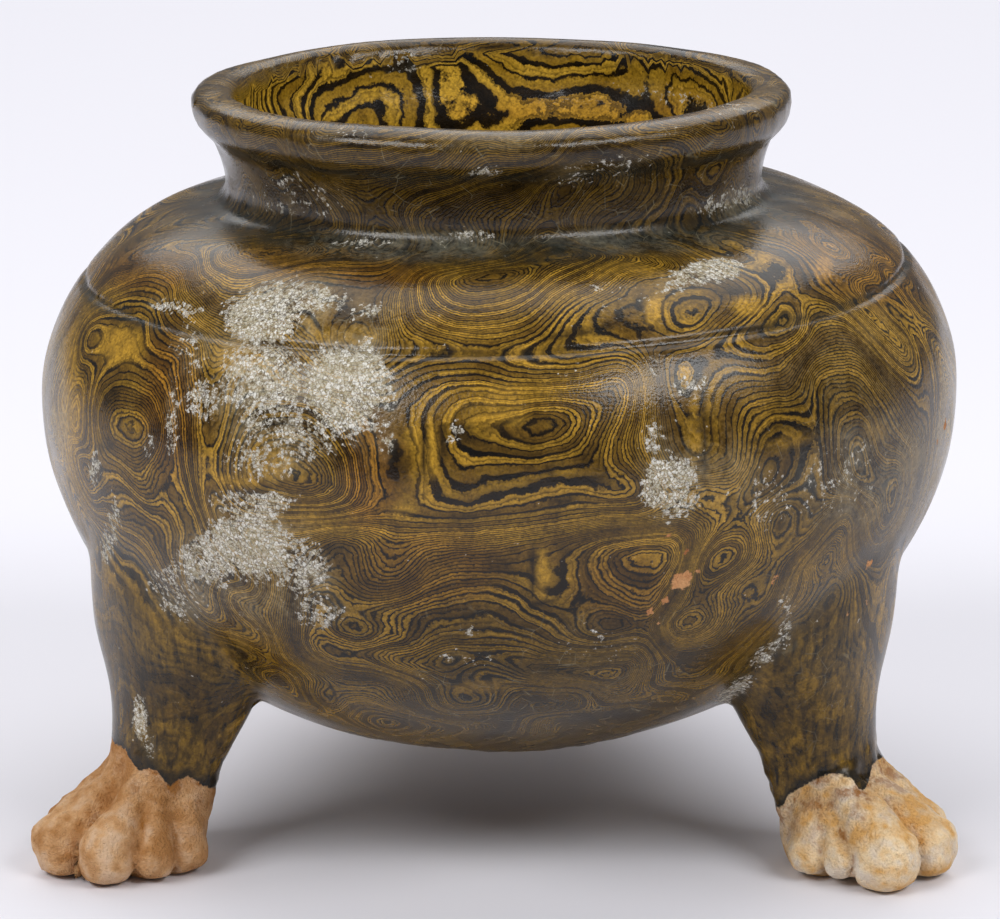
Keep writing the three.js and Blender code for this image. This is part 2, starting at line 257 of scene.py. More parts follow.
def leg_size(column, height):
    """One size of the leg at a height, smooth through its sections."""
    at, value = LEG_SECTIONS[:, 0], LEG_SECTIONS[:, column]
    slope = np.gradient(value, at, edge_order=1)
    slope[1:-1] = (value[2:] - value[:-2]) / (at[2:] - at[:-2])
    k = np.clip(np.searchsorted(at, height) - 1, 0, len(at) - 2)
    span = at[k + 1] - at[k]
    t = (height - at[k]) / span
    rise, fall, change = slope[k] * span, slope[k + 1] * span, value[k + 1] - value[k]
    return value[k] + t * (rise + t * (3 * change - 2 * rise - fall + t * (rise + fall - 2 * change)))


def digit_distance(spot, toe):
    """Distance to a toe and the tendon that runs on from it, over the instep to the ankle."""
    reach, side, height, radius = toe
    root_reach = PAW_AXIS + TOE_ROOT_REACH * (reach - PAW_AXIS)
    root = np.array([root_reach, TOE_ROOT_SIDE * side, TOE_ROOT_HEIGHT, TOE_ROOT_THICKNESS * radius])
    tendon_reach = TENDON_REACH - TENDON_CURVE * side**2
    ankle = np.array([tendon_reach, TENDON_SIDE * side, TENDON_HEIGHT, TENDON_RADIUS])
    ends = [np.array(toe), root, ankle]
    nearest = []
    for start, end in zip(ends[:-1], ends[1:]):
        line, offset = end[:3] - start[:3], spot - start[:3]
        share = np.clip(offset @ line / (line @ line), 0, 1)
        beside = np.abs(offset - share[:, None] * line) ** TOE_SQUARENESS
        nearest.append(beside.sum(1) ** (1 / TOE_SQUARENESS) - lerp(start[3], end[3], share))
    return soft_join(*nearest, TOE_SOFTNESS)


def leg_frame(points, angle):
    c, s = math.cos(angle), math.sin(angle)
    x, y, z = points.T
    return np.column_stack([x * c + y * s, y * c - x * s, z])


def leg_distance(points, angle, toes):
    """Signed distance to one leg, and how deep a point lies between two toes."""
    spot = leg_frame(points, angle)
    height = np.clip(spot[:, 2], 0, LEG_SECTIONS[-1, 0])
    depth, width = leg_size(2, height), leg_size(3, height)
    across = np.abs((spot[:, 0] - leg_size(1, height)) / depth)
    along = np.abs(spot[:, 1] / width)
    size = (across**LEG_ROUNDNESS + along**LEG_ROUNDNESS) ** (1 / LEG_ROUNDNESS)
    distance = (size - 1) * np.minimum(depth, width)
    digits = [digit_distance(spot, toe) for toe in toes]
    for digit in digits:
        distance = soft_join(distance, digit, TOE_SOFTNESS)
    order = np.sort(digits, axis=0)
    on_instep = smoothstep(spot[:, 0], 88, 93) * (1 - smoothstep(spot[:, 2], 20, 32)) * (order[1] < 8)
    groove = np.exp(-(((order[1] - order[0]) / TOE_GROOVE_WIDTH) ** 2)) * on_instep
    distance = distance + TOE_GROOVE_DEPTH * groove
    return np.maximum(distance, spot[:, 2] - LEG_SECTIONS[-1, 0]), groove


def wave_set(wavelength, height, count, number):
    """Random waves of about one length, and how high each is so that together they have a height."""
    seed = np.random.default_rng(number)
    ways = seed.normal(size=(count, 3))
    ways /= np.linalg.norm(ways, axis=1)[:, None]
    ways *= 2 * math.pi / wavelength * seed.uniform(0.6, 1.4, (count, 1))
    return ways, seed.uniform(0, 2 * math.pi, count), height / math.sqrt(count)


def ripple(points, waves):
    ways, phases, height = waves
    return np.sin(points @ ways.T + phases).sum(1) * height


# Unevenness that hands leave: wavelength and height in mm, number of waves, and their seed
POT_WAVES = [wave_set(55, 0.22, 9, 1), wave_set(22, 0.07, 9, 2)]
PAW_WAVES = [wave_set(11, 0.26, 12, 3), wave_set(5, 0.17, 14, 4), wave_set(2.8, 0.07, 14, 5)]


def surface(points):
    """Signed distance to the censer's surface, groove and hand-made unevenness included."""
    radius, height, angle = turned(points)
    wall = read_grid(wall_grid, radius, height)
    outer = read_grid(outer_grid, radius, height)
    legs = np.full(len(points), 99.0)
    for leg_angle, toes in zip(LEG_ANGLES, TOES):
        legs = np.minimum(legs, leg_distance(points, leg_angle, toes)[0])
    legs = np.maximum(legs, -(outer + WALL / 2))
    whole = soft_join(wall, legs, ROOT_FILLET)
    ring = RING_HEIGHT + 0.5 * np.sin(2 * angle + 0.6) + 0.25 * np.sin(5 * angle + 2)
    depth = RING_DEPTH * (0.85 + 0.15 * np.sin(3 * angle + 1) + 0.1 * np.sin(11 * angle))
    beside = (height - ring) / ring_direction()[1]
    outside = smoothstep(outer, -WALL * 0.6, -WALL * 0.3)
    whole = whole + depth * np.exp(-((beside / (0.42 * RING_WIDTH)) ** 2)) * outside
    paw = 1 - smoothstep(points[:, 2], ANKLE_HEIGHT, ANKLE_HEIGHT + 8)
    uneven = sum(ripple(points, waves) for waves in POT_WAVES)
    uneven += paw * sum(ripple(points, waves) for waves in PAW_WAVES)
    whole = whole + uneven * smoothstep(points[:, 2], 0, 2)
    return -soft_join(-whole, points[:, 2], SOLE_ROUND)


def read_points(mesh):
    flat = np.zeros(len(mesh.vertices) * 3, np.float32)
    mesh.vertices.foreach_get("co", flat)
    return flat.reshape(-1, 3).astype(float) / MM - LEGS_AXIS


def read_normals(mesh):
    flat = np.zeros(len(mesh.vertices) * 3, np.float32)
    mesh.vertex_normals.foreach_get("vector", flat)
    return flat.reshape(-1, 3).astype(float)


def write_points(mesh, points):
    mesh.vertices.foreach_set("co", ((points + LEGS_AXIS) * MM).astype(np.float32).ravel())
    mesh.update()


def settle_on_surface(mesh, passes):
    for _ in range(passes):
        points = read_points(mesh)
        write_points(mesh, points - np.clip(surface(points), -1.5, 1.5)[:, None] * read_normals(mesh))


def refine(mesh, wanted):
    """Splits the faces whose middles are wanted, so that small forms have faces enough."""
    flat = np.zeros(len(mesh.polygons) * 3, np.float32)
    mesh.polygons.foreach_get("center", flat)
    chosen = wanted(flat.reshape(-1, 3).astype(float) / MM - LEGS_AXIS)
    work = bmesh.new()
    work.from_mesh(mesh)
    edges = {edge for face, use in zip(work.faces, chosen) if use for edge in face.edges}
    bmesh.ops.subdivide_edges(work, edges=sorted(edges, key=lambda e: e.index), cuts=1, use_grid_fill=True)
    bmesh.ops.triangulate(work, faces=[face for face in work.faces if len(face.verts) > 4])
    work.to_mesh(mesh)
    work.free()


def on_outside(points):
    radius, height, _ = turned(points)
    return read_grid(outer_grid, radius, height) > -WALL / 2


def near_ring(points):
    return on_outside(points) & (np.abs(turned(points)[1] - RING_HEIGHT) < 1.4 * RING_WIDTH)


def on_paws(points):
    return points[:, 2] < ANKLE_HEIGHT + 6


def build_body():
    """The CAD solid, remeshed evenly and laid on the smooth surface that its facets stand in for."""
    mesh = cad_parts["censer"].data.copy()
    work = bmesh.new()
    work.from_mesh(mesh)
    bmesh.ops.remove_doubles(work, verts=work.verts, dist=1e-6)
    work.to_mesh(mesh)
    work.free()
    rough = bpy.data.objects.new("rough_body", mesh)
    bpy.context.scene.collection.objects.link(rough)
    remesh = rough.modifiers.new("even_faces", "REMESH")
    remesh.mode, remesh.voxel_size, remesh.use_smooth_shade = "VOXEL", VOXEL * MM, True
    graph = bpy.context.evaluated_depsgraph_get()
    even = bpy.data.meshes.new_from_object(rough.evaluated_get(graph))
    bpy.data.objects.remove(rough)
    settle_on_surface(even, 4)
    refine(even, on_outside)
    settle_on_surface(even, 2)
    refine(even, near_ring)
    refine(even, on_paws)
    settle_on_surface(even, 3)
    even.materials.clear()
    even.name = "glazed_censer"
    body = bpy.data.objects.new("glazed_censer", even)
    bpy.context.scene.collection.objects.link(body)
    even.polygons.foreach_set("use_smooth", np.ones(len(even.polygons), bool))
    return body


def picture_place(points):
    """Where points in mm fall in the photograph, in pixels across and down."""
    offset = points + LEGS_AXIS - CAMERA_PLACE
    sine, cosine = math.sin(CAMERA_PITCH), math.cos(CAMERA_PITCH)
    away = offset[:, 1] * cosine - offset[:, 2] * sine
    rise = offset[:, 1] * sine + offset[:, 2] * cosine
    across = PICTURE_WIDTH / 2 + FOCAL_PIXELS * offset[:, 0] / away
    return across, PICTURE_HEIGHT / 2 - FOCAL_PIXELS * rise / away


def seen(tree, x, y):
    """The surface point in mm, and its normal, at a pixel of the photograph."""
    sine, cosine = math.sin(CAMERA_PITCH), math.cos(CAMERA_PITCH)
    u, v = (x - PICTURE_WIDTH / 2) / FOCAL_PIXELS, (PICTURE_HEIGHT / 2 - y) / FOCAL_PIXELS
    ray = Vector((u, cosine + v * sine, v * cosine - sine)).normalized()
    place, normal, _, _ = tree.ray_cast(Vector(CAMERA_PLACE * MM), ray)
    return np.array(place) / MM - LEGS_AXIS, np.array(normal)


def in_view(tree, points, normals):
    """Which points the photograph shows: they face the camera and nothing stands before them."""
    toward = CAMERA_PLACE - LEGS_AXIS - points
    facing = (toward * normals).sum(1) > 0
    shown = np.zeros(len(points), bool)
    start = (points + LEGS_AXIS + 0.8 * normals) * MM
    for i in np.nonzero(facing)[0]:
        shown[i] = tree.ray_cast(Vector(start[i]), Vector(toward[i]).normalized())[0] is None
    return shown


# How the clay's layers run where the photograph shows them: pixel across, pixel down,
# direction in degrees in which one layer follows another (0 right, 90 up), and the
# distance from one dark layer to the next in pixels
LAYERS_SEEN = [
    # lip and neck
    (215, 115, 100, 3.4), (260, 132, 98, 3.4), (330, 142, 94, 3.4), (420, 148, 90, 3.4),
    (520, 148, 90, 3), (610, 142, 86, 3.4), (690, 130, 82, 3.4), (760, 108, 78, 3.4), (240, 175, 175, 5),
    (285, 190, 160, 6), (330, 195, 60, 5), (385, 188, 100, 6), (440, 200, 95, 4), (500, 196, 80, 4),
    (555, 205, 250, 5), (605, 205, 240, 6), (655, 210, 265, 6), (700, 190, 200, 6), (740, 180, 170, 5),
    # shoulder, left to right
    (120, 275, 60, 4), (160, 268, 45, 4), (190, 270, 0, 3.4), (215, 285, 30, 4), (245, 268, 80, 4),
    (280, 262, 85, 4), (130, 300, 75, 5), (180, 322, 80, 5), (150, 288, 80, 7.5), (320, 262, 85, 4),
    (345, 300, 100, 14), (365, 285, 80, 5), (385, 325, 180, 4), (412, 300, 180, 4), (430, 298, 222, 4),
    (440, 318, 250, 4), (462, 306, 258, 5), (500, 310, 270, 5), (500, 290, 270, 6), (540, 300, 292, 5),
    (470, 340, 270, 5), (520, 342, 272, 5), (560, 285, 288, 4), (585, 290, 285, 4), (562, 262, 280, 3.4),
    (600, 268, 300, 3.4), (636, 268, 270, 3.4), (618, 300, 280, 4), (652, 300, 200, 9),
    (672, 308, 150, 6), (700, 296, 115, 7.5), (735, 283, 90, 7.5), (760, 300, 0, 7.5),
    (735, 318, 270, 7.5), (600, 333, 272, 15), (560, 338, 280, 12), (650, 335, 275, 6),
    (770, 268, 180, 10.5), (792, 266, 60, 7.5), (815, 272, 0, 7.5), (850, 268, 100, 4), (890, 268, 60, 4),
    (700, 258, 85, 5), (820, 300, 95, 4),
    # left flank
    (75, 350, 190, 4), (58, 420, 190, 4), (78, 480, 205, 5), (92, 420, 200, 5), (98, 385, 165, 5),
    (118, 328, 90, 13), (118, 350, 270, 13), (115, 378, 90, 5), (114, 408, 90, 4), (137, 385, 12, 5),
    (150, 345, 0, 7.5), (165, 380, 0, 4), (195, 370, 0, 4), (170, 430, 0, 4), (200, 430, 0, 4),
    (100, 455, 205, 7.5), (150, 480, 18, 4), (195, 480, 350, 4), (125, 505, 30, 5), (220, 460, 175, 9),
    (240, 450, 160, 6), (265, 425, 90, 6), (265, 450, 90, 6), (296, 452, 35, 5), (262, 490, 270, 7.5),
    (300, 395, 90, 6), (240, 380, 80, 6), (350, 375, 95, 5),
    # fine combed lines, then the bold loops in the middle
    (315, 440, 34, 3.4), (345, 440, 14, 3.4), (380, 470, 0, 4), (345, 485, 4, 3.4), (398, 430, 0, 6),
    (410, 460, 180, 13), (412, 492, 180, 13), (426, 440, 180, 10.5), (428, 475, 186, 9),
    (412, 400, 150, 9), (405, 380, 130, 7.5), (440, 372, 100, 6), (480, 378, 82, 7.5), (520, 382, 112, 6),
    (560, 366, 112, 5), (600, 362, 130, 4), (440, 396, 110, 7.5), (480, 398, 85, 9), (450, 425, 180, 9),
    (475, 428, 270, 7.5), (520, 410, 100, 6), (560, 400, 125, 3.4), (598, 392, 142, 3.4),
    (545, 446, 288, 3.4), (576, 424, 330, 3.4), (505, 440, 268, 5), (480, 462, 270, 7.5),
    (478, 486, 268, 9), (522, 486, 272, 9), (545, 470, 290, 7.5), (448, 492, 228, 7.5),
    (565, 485, 290, 10.5), (595, 450, 0, 5),
    # right flank
    (610, 420, 0, 4), (635, 440, 0, 4), (650, 390, 0, 4), (680, 430, 0, 4), (702, 430, 180, 10.5),
    (702, 395, 175, 10.5), (716, 374, 135, 10.5), (748, 364, 100, 10.5), (730, 400, 160, 7.5),
    (770, 345, 95, 4), (760, 385, 85, 3.4), (792, 350, 118, 4), (835, 338, 90, 4), (868, 335, 52, 3.4),
    (900, 365, 42, 3.4), (880, 392, 42, 3.4), (838, 372, 90, 4), (930, 350, 15, 4), (938, 430, 0, 5),
    (780, 405, 90, 3.4), (805, 432, 85, 13), (760, 440, 95, 6), (850, 420, 90, 5), (885, 415, 60, 9),
    (800, 470, 80, 7.5), (880, 470, 60, 4), (720, 480, 60, 4), (660, 480, 0, 4), (760, 510, 320, 4),
    (830, 520, 315, 4),
    # fine band where the two halves of the pot meet
    (330, 520, 265, 3.4), (380, 524, 268, 3), (430, 528, 270, 3), (480, 530, 270, 3.4),
    (530, 530, 270, 3), (580, 528, 270, 3.4), (630, 520, 270, 3.4), (690, 518, 270, 3.4),
    (290, 520, 265, 4),
    # lower belly
    (330, 560, 25, 4), (348, 580, 215, 3.4), (332, 602, 215, 4), (372, 592, 255, 3.4),
    (396, 574, 290, 3.4), (372, 565, 180, 4), (430, 580, 280, 4), (470, 568, 275, 5), (512, 575, 270, 4),
    (420, 605, 270, 4), (470, 600, 268, 6), (518, 602, 262, 7.5), (544, 575, 180, 14), (562, 580, 0, 6),
    (582, 580, 0, 5), (606, 580, 0, 5), (630, 590, 8, 4), (660, 580, 20, 4), (705, 588, 320, 3.4),
    (742, 568, 310, 3.4), (722, 615, 320, 3.4), (785, 580, 350, 3.4), (770, 620, 315, 4),
    (690, 645, 280, 4), (730, 655, 300, 5), (340, 640, 245, 4), (400, 650, 258, 4), (450, 640, 265, 5),
    (520, 640, 270, 6), (565, 650, 280, 5), (620, 650, 275, 5), (400, 674, 62, 3.4), (432, 690, 0, 4),
    (402, 700, 300, 3.4), (480, 686, 270, 14), (540, 690, 80, 3.4), (356, 714, 180, 4), (402, 706, 90, 4),
    (405, 728, 285, 4), (528, 727, 0, 5), (470, 715, 90, 4), (598, 700, 0, 3.4), (640, 705, 80, 5),
    (305, 685, 0, 3.4), (220, 605, 20, 4), (250, 645, 240, 4), (180, 560, 200, 5), (145, 545, 200, 5),
    (290, 600, 30, 4), (230, 550, 60, 6), (280, 560, 80, 6), (680, 690, 275, 5), (250, 680, 230, 4),
    # front legs
    (125, 600, 180, 9), (150, 640, 180, 9), (190, 690, 185, 9), (140, 700, 180, 7.5),
    (225, 720, 190, 7.5), (800, 660, 180, 9), (850, 620, 180, 7.5), (790, 720, 180, 7.5),
    (840, 700, 180, 9), (875, 650, 180, 7.5), (180, 745, 180, 7.5), (820, 755, 180, 7.5),
    # inner wall, seen through the mouth
    (290, 85, 60, 16), (330, 90, 75, 16), (345, 65, 100, 14), (385, 75, 60, 18), (420, 95, 0, 20),
    (455, 75, 160, 18), (490, 85, 200, 17), (500, 60, 260, 14), (545, 55, 265, 14), (590, 58, 255, 14),
    (560, 85, 270, 15), (620, 90, 215, 18), (655, 80, 185, 18), (690, 70, 100, 16), (700, 95, 80, 17),
    (740, 85, 110, 14),
]

# One pixel of the photograph at the belly, in mm
PIXEL = 0.249
# Between the outside and the inner wall there is this much extra distance, in mm,
# so that the layers of one don't show in the other
WALL_APART = 20.0
LAYER_REACH, BLOCK = 8.5, 24.0
# Random sites: how far apart they stand, how many places are tried, and the size of the
# outer and inner swirls, in mm; then the layer pitch outside, inside, on the legs and lip
SITE_SPACING, SITES_TRIED, OUTER_SWIRL, INNER_SWIRL = 10.5, 24000, 72, 64
OUTER_PITCH, INNER_PITCH, LEG_PITCH, LIP_PITCH, PITCH_SPREAD = 1.3, 4.0, 2.0, 0.95, 0.35


def random_slope(points, wavelength, number):
    """Gradient of a smooth random height, whose contours the layers follow where nothing is seen."""
    ways, phases, _ = wave_set(wavelength, 1, 9, number)
    return np.cos(points @ ways.T + phases) @ ways


def spread(places, spacing, taken, seed):
    """Picks places that stand at least a spacing from each other and from those taken."""
    tried = seed.permutation(len(places))[:SITES_TRIED]
    free = np.ones(len(tried), bool)
    for place in taken:
        free &= ((places[tried] - place) ** 2).sum(1) > spacing**2
    picked = []
    for number, i in enumerate(tried):
        if free[number]:
            picked.append(i)
            free &= ((places[tried] - places[i]) ** 2).sum(1) > spacing**2
    return np.array(picked)


def level_sites(places, ways, pitches):
    """Offsets that make neighbouring sites agree half way between them, as nearly as they can."""
    gap = ((places[:, None] - places[None]) ** 2).sum(2)
    first, second = np.nonzero(np.triu(gap < (2.1 * LAYER_REACH) ** 2, 1))
    half = (places[second] - places[first]) / 2
    step = -(half * ways[second]).sum(1) / pitches[second] - (half * ways[first]).sum(1) / pitches[first]
    matrix, wanted = np.eye(len(places)) * 1e-3, np.zeros(len(places))
    np.add.at(matrix, (first, first), 1)
    np.add.at(matrix, (second, second), 1)
    np.add.at(matrix, (first, second), -1)
    np.add.at(matrix, (second, first), -1)
    np.add.at(wanted, first, step)
    np.add.at(wanted, second, -step)
    return np.linalg.solve(matrix, wanted)


def layer_count(spots, places, ways, pitches):
    """Number of clay layers passed at each spot, and the pitch there, blended from sites around it."""
    offsets = level_sites(places, ways, pitches)
    counted, pitch = np.zeros(len(spots)), np.zeros(len(spots))
    blocks = np.floor(spots / BLOCK).astype(int)
    for block in np.unique(blocks, axis=0):
        pick = np.nonzero((blocks == block).all(1))[0]
        near = np.nonzero(np.abs(places - (block + 0.5) * BLOCK).max(1) < BLOCK / 2 + 3.4 * LAYER_REACH)[0]
        offset = spots[pick, None] - places[near][None]
        squared = (offset**2).sum(2)
        weight = np.exp(-(squared - squared.min(1)[:, None]) / LAYER_REACH**2)
        count = (offset * ways[near]).sum(2) / pitches[near] + offsets[near]
        counted[pick] = (weight * count).sum(1) / weight.sum(1)
        pitch[pick] = (weight * pitches[near]).sum(1) / weight.sum(1)
    return counted, pitch


def along_surface(way, normal):
    way = way - (way * normal).sum(-1, keepdims=True) * normal
    return way / np.maximum(np.linalg.norm(way, axis=-1, keepdims=True), 1e-9)


def lift(points, inside):
    return np.column_stack([points, WALL_APART * inside])


def clay_layers(tree, points, normals, inside, legness, lipness):
    """Layer count everywhere: as seen in front, along a random height elsewhere, upright on the legs."""
    right, up = np.array([1.0, 0, 0]), np.array([0, math.sin(CAMERA_PITCH), math.cos(CAMERA_PITCH)])
    places, ways, pitches = [], [], []
    for x, y, angle, pitch in LAYERS_SEEN:
        place, normal = seen(tree, x, y)
        turn = math.radians(angle)
        places.append(place)
        ways.append(along_surface(math.cos(turn) * right + math.sin(turn) * up, normal))
        pitches.append(pitch * PIXEL)
    places = np.array(places)
    nearest = np.array([((points - p) ** 2).sum(1).argmin() for p in places])
    places = lift(places, inside[nearest])
    seed = np.random.default_rng(618)
    spots = lift(points, inside)
    picked = spread(spots, SITE_SPACING, places, seed)
    inner = inside[picked] > 0.5
    flow = along_surface(random_slope(points[picked], OUTER_SWIRL, 21), normals[picked])
    flow[inner] = along_surface(random_slope(points[picked], INNER_SWIRL, 22), normals[picked])[inner]
    around = along_surface(np.cross(normals[picked], (0, 0, 1.0)), normals[picked])
    leg, lip = legness[picked][:, None], lipness[picked][:, None]
    flow = lerp(lerp(flow, around, 0.85 * leg), np.array([0, 0, 1.0]), 0.9 * lip)
    flow = along_surface(flow, normals[picked])
    own_pitch = lerp(np.where(inner, INNER_PITCH, OUTER_PITCH), LEG_PITCH, leg[:, 0])
    own_pitch = lerp(own_pitch, LIP_PITCH, lip[:, 0])
    own_pitch *= np.exp(seed.normal(0, PITCH_SPREAD, len(picked)))
    places = np.vstack([places, spots[picked]])
    ways = np.vstack([np.array(ways), flow])
    ways = np.column_stack([ways, np.zeros(len(ways))])
    return layer_count(spots, places, ways, np.append(pitches, own_pitch))


# Patches that the photograph shows, as soft ellipses in its pixels:
# across, down, half width, half height, turn in degrees, strength
PATCHES = {}
PATCHES["flaked"] = [
    (262, 318, 42, 30, 0, 0.95), (292, 298, 60, 20, 0, 0.7), (368, 312, 30, 9, 8, 0.45),
    (345, 388, 46, 48, 0, 1), (262, 380, 48, 44, 0, 0.72), (205, 400, 22, 24, 0, 0.6),
    (290, 430, 68, 34, 0, 0.55), (376, 372, 14, 40, 20, 0.8), (262, 458, 45, 26, 0, 0.5),
    (178, 308, 34, 9, -8, 0.55), (190, 350, 20, 30, 0, 0.35), (252, 545, 48, 36, -20, 0.95),
    (213, 560, 42, 28, 0, 0.75), (300, 566, 32, 40, 40, 0.6), (320, 612, 30, 18, 0, 0.5),
    (175, 592, 36, 26, -45, 0.45), (265, 503, 32, 14, 0, 0.7), (172, 420, 7, 45, 0, 0.5),
    (149, 445, 6, 18, 0, 0.45), (95, 468, 7, 20, 0, 0.6), (112, 530, 9, 38, -12, 0.6),
    (386, 440, 9, 24, 0, 0.6), (456, 430, 15, 12, 0, 0.5), (670, 486, 32, 36, 0, 0.78),
    (656, 366, 14, 14, 0, 0.5), (690, 385, 20, 18, 0, 0.5), (655, 440, 14, 24, 0, 0.5),
    (708, 272, 46, 14, 10, 0.8), (675, 285, 22, 10, 0, 0.5), (770, 500, 30, 34, 30, 0.35),
    (836, 480, 56, 36, 40, 0.28), (735, 690, 26, 8, 35, 0.65), (786, 620, 7, 32, 0, 0.5),
    (765, 655, 22, 9, 45, 0.55), (470, 630, 9, 6, 0, 0.6), (466, 658, 32, 10, 0, 0.35),
    (600, 640, 50, 30, 0, 0.22), (140, 718, 8, 26, 0, 0.75), (150, 748, 8, 12, 0, 0.55),
    (470, 235, 26, 7, 0, 0.6), (487, 172, 22, 5, 0, 0.7), (300, 200, 60, 18, 0, 0.3),
    (285, 180, 22, 6, 20, 0.4), (730, 200, 40, 14, 20, 0.45), (600, 170, 60, 14, 8, 0.35),
    (690, 100, 70, 10, -10, 0.4), (360, 242, 40, 6, 0, 0.5), (620, 300, 40, 20, 0, 0.25),
    (560, 370, 40, 10, 0, 0.2), (235, 500, 30, 12, 0, 0.5), (400, 60, 40, 14, 0, 0.35),
    (340, 135, 30, 8, 0, 0.3),
]
PATCHES["dark_spots"] = [
    (703, 430, 3.5, 58, 0, 0.9), (421, 458, 4.5, 46, 0, 0.95), (440, 442, 4, 26, 0, 0.8),
    (268, 422, 34, 6, 3, 0.8), (254, 491, 22, 6, 0, 0.8), (106, 445, 10, 7, 0, 0.8),
    (468, 428, 9, 5, 0, 0.9), (492, 426, 7, 4, 0, 0.9), (550, 470, 12, 5, 20, 0.8),
    (562, 500, 15, 5, 0, 0.8), (533, 572, 3, 28, 0, 0.9), (556, 574, 3.5, 30, 0, 0.9),
    (543, 603, 14, 4, 0, 0.9), (640, 303, 7, 8, 0, 0.9), (745, 329, 34, 4, 4, 0.8),
    (112, 333, 12, 4, 60, 0.9), (770, 444, 34, 3, -15, 0.8), (600, 716, 42, 6, 8, 0.7),
    (533, 668, 36, 10, 0, 0.6), (450, 638, 22, 6, 0, 0.6), (741, 698, 7, 10, 0, 0.8),
    (806, 275, 4, 17, 0, 0.9), (757, 280, 3.5, 17, 0, 0.9), (576, 333, 36, 4, 10, 0.8),
    (612, 324, 14, 5, 20, 0.8), (142, 297, 20, 4, -18, 0.7), (455, 520, 10, 8, 0, 0.6),
    (735, 292, 16, 4, 0, 0.8), (790, 262, 10, 4, 40, 0.7), (716, 398, 3, 36, 0, 0.5),
    (860, 768, 10, 22, 12, 0.9), (143, 755, 9, 18, 0, 0.8), (168, 777, 18, 9, -20, 0.7),
    (205, 782, 9, 10, 0, 0.8),
]
PATCHES["ochre_spots"] = [
    (122, 345, 26, 20, 0, 0.8), (431, 452, 4, 40, 0, 0.9), (411, 455, 4.5, 46, 0, 0.9),
    (652, 310, 9, 15, -20, 0.9), (746, 305, 17, 10, 0, 0.9), (789, 442, 30, 8, 15, 0.7),
    (694, 430, 4, 50, 0, 0.7), (716, 430, 5, 50, 0, 0.6), (544, 572, 6, 26, 0, 0.95),
    (482, 687, 34, 6, 0, 0.8), (245, 480, 34, 6, 0, 0.7), (403, 508, 14, 9, 0, 0.7),
    (875, 430, 14, 10, 0, 0.6), (825, 268, 8, 14, 0, 0.8), (238, 358, 26, 18, 0, 0.6),
    (70, 400, 12, 80, 0, 0.5), (270, 458, 24, 18, 0, 0.6), (480, 415, 50, 12, 0, 0.5),
    (500, 395, 60, 10, 0, 0.5), (350, 335, 40, 10, 0, 0.5), (680, 690, 40, 12, 0, 0.3),
    (760, 690, 8, 30, -20, 0.5),
]
# Places where the glaze is thicker and greener, which also carry painted shade on the lower belly, the legs
# and the neck under the lip; and places where it is browner
PATCHES["thick_glaze_and_shade"] = [
    (560, 700, 210, 60, 0, 0.7), (850, 470, 110, 120, 0, 0.55), (640, 640, 190, 70, 0, 0.5),
    (470, 205, 240, 36, 0, 0.35), (600, 480, 160, 60, 0, 0.3), (830, 690, 80, 110, 0, 0.5),
    (150, 560, 60, 60, 0, 0.2), (170, 660, 80, 110, 0, 0.38), (400, 640, 220, 80, 0, 0.42),
    (740, 610, 120, 70, 0, 0.45),
]
PATCHES["browner"] = [
    (850, 262, 90, 40, -20, 0.5), (300, 262, 90, 20, 0, 0.4), (380, 275, 60, 16, 0, 0.6),
    (150, 270, 60, 24, 0, 0.5), (430, 570, 80, 40, 0, 0.4), (370, 470, 30, 60, 0, 0.6),
    (170, 400, 30, 80, 0, 0.6), (620, 590, 50, 40, 0, 0.4), (600, 110, 160, 18, 0, 0.4),
]
# Soil and scale that leave a grey bloom, mixed with painted sheen: pale grey reflections of the bright room
# at both limbs, near the neck, on the lip and on the left of the belly
PATCHES["bloom_and_sheen"] = [
    (310, 370, 110, 90, 0, 0.6), (52, 420, 18, 110, 0, 0.8), (948, 410, 18, 110, 0, 0.8),
    (400, 245, 120, 16, 0, 0.7), (650, 240, 110, 14, 0, 0.6), (880, 470, 80, 60, 0, 0.5),
    (740, 210, 40, 16, 0, 0.5), (700, 470, 60, 50, 0, 0.4), (250, 570, 80, 60, 0, 0.6),
    (840, 350, 80, 60, 0, 0.2), (500, 140, 120, 10, 0, 0.3),
]
# Patches on the sides that the photograph doesn't show: number, sizes in mm, seed
HIDDEN_PATCHES = {
    "flaked": (34, (4, 24), 31), "thick_glaze_and_shade": (14, (20, 50), 33), "browner": (14, (14, 40), 34),
    "bloom_and_sheen": (20, (10, 40), 35),
}
# Chips through the glaze to the buff body: pixel across, pixel down, radius in mm
CHIPS = [
    (590, 545, 0.7), (688, 552, 0.9), (682, 580, 2.6), (665, 600, 1.2), (650, 612, 1.0), (575, 540, 0.7),
    (668, 535, 0.8), (635, 535, 0.6), (660, 622, 0.8), (775, 580, 1.2), (869, 564, 1.4), (866, 603, 1.0),
    (849, 612, 0.8), (945, 425, 1.6), (937, 442, 0.9), (700, 570, 0.8), (655, 590, 0.7), (720, 545, 0.6),
]
# Lower edge of the glaze on the two front paws, in pixels of the photograph
LEFT_EDGE = np.array([
    (100, 732), (111, 735), (114, 744), (126, 750), (130, 760), (140, 772), (148, 768), (158, 772),
    (164, 782), (169, 786), (178, 780), (190, 777), (198, 782), (204, 787), (214, 788),
])
RIGHT_EDGE = np.array([
    (778, 808), (783, 806), (786, 798), (796, 790), (808, 784), (818, 778), (832, 774), (844, 775),
    (850, 778), (855, 783), (859, 790), (864, 791), (868, 784), (872, 766), (877, 760), (890, 756),
])
BACK_EDGE_HEIGHT = 27.0
HIDDEN_CHIPS, HIDDEN_CHIP_SIZES = 26, (0.5, 1.8)
FAR_FROM_EDGE, TOE_TOP = 40.0, 24
# Strengths of darker glaze on the neck, in the leg creases and under the lip, which also paint the shade
# there
NECK_GLAZE_AND_SHADE, CREASE_GLAZE_AND_SHADE, UNDER_LIP_GLAZE_AND_SHADE = 0.8, 0.55, 0.7


